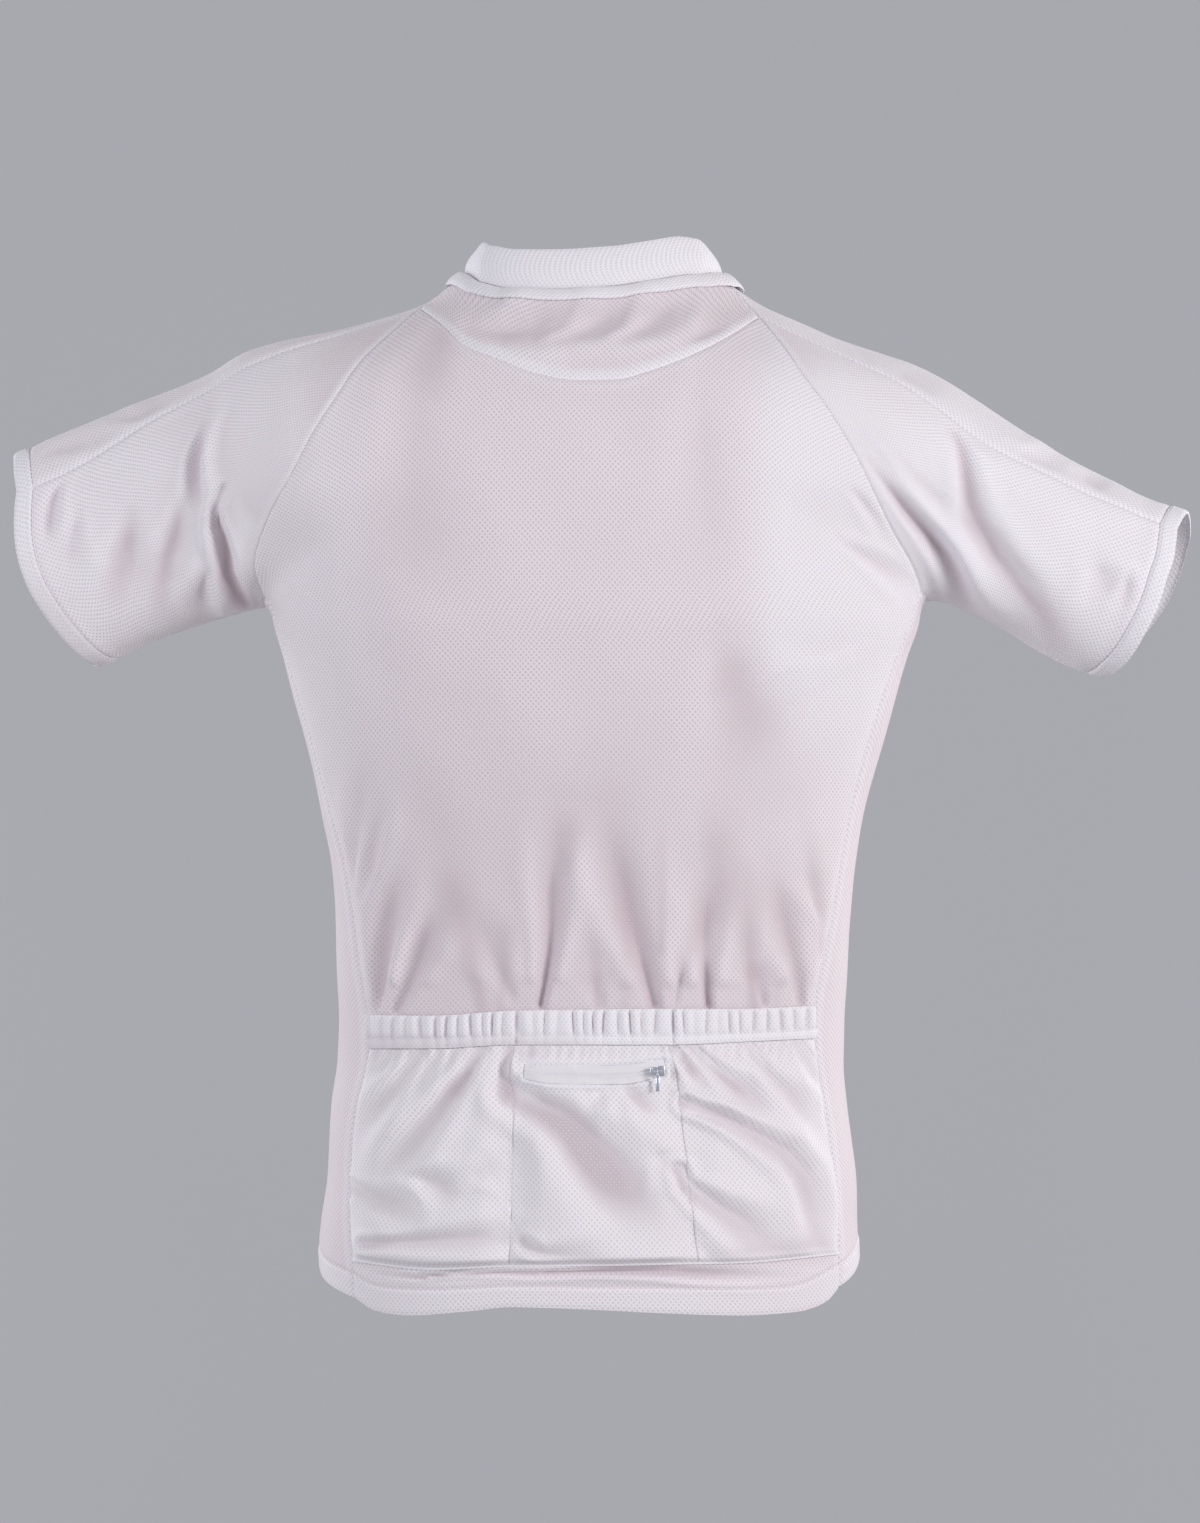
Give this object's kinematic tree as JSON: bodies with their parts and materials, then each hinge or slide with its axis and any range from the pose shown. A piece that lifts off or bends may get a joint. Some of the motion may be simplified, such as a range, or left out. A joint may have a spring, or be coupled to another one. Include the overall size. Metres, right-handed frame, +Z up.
{
  "type": "cycling jersey",
  "caption": "Short-sleeved raglan cycling jersey, filled out as if worn, with a stand collar, a gathered pocket band over back pockets and two zips.",
  "frame": {"origin": "centre of the neck opening at the base of the collar, where the wearer's shoulders hold it up", "axes": "+Z up, +Y the way the wearer faces, +X the wearer's right, along the sleeves"},
  "size_m": [0.79, 0.2345, 0.704],
  "materials": {
    "knit": "white birdseye mesh knit, matt with a soft sheen",
    "trim_knit": "white close knit, matt",
    "zip_tape": "white woven tape with a covered coil",
    "zip_metal": "pale grey plated metal"
  },
  "bodies": {
    "garment": {"back_panel": "knit", "back_yoke": "knit", "side_panel_left": "knit", "side_panel_right": "knit", "front_left": "knit", "front_right": "knit", "sleeve_back_left": "knit", "sleeve_back_right": "knit", "sleeve_front_left": "knit", "sleeve_front_right": "knit", "shoulder_strip_left": "knit", "shoulder_strip_right": "knit", "cuff_left": "trim_knit", "cuff_right": "trim_knit", "collar": "trim_knit", "neck_tape": "trim_knit", "pocket_band": "knit", "pocket_panel": "knit", "pocket_zip": "zip_tape", "pocket_zip_slider": "zip_metal", "front_zip": "zip_tape", "front_zip_slider": "zip_metal"},
    "pocket_zip_pull": {"pocket_zip_pull": "zip_metal"},
    "front_zip_pull": {"front_zip_pull": "zip_metal"}
  },
  "joints": [
    {"name": "pocket_zip_pull_hinge", "type": "hinge", "parent": "garment", "child": "pocket_zip_pull", "pos_m": [0.041, -0.10847, -0.51433], "axis": [-1, 0, 0], "range_deg": [0, 150]},
    {"name": "front_zip_pull_hinge", "type": "hinge", "parent": "garment", "child": "front_zip_pull", "pos_m": [-0.00007, 0.07081, -0.037], "axis": [1, 0, 0], "range_deg": [0, 150]}
  ]
}
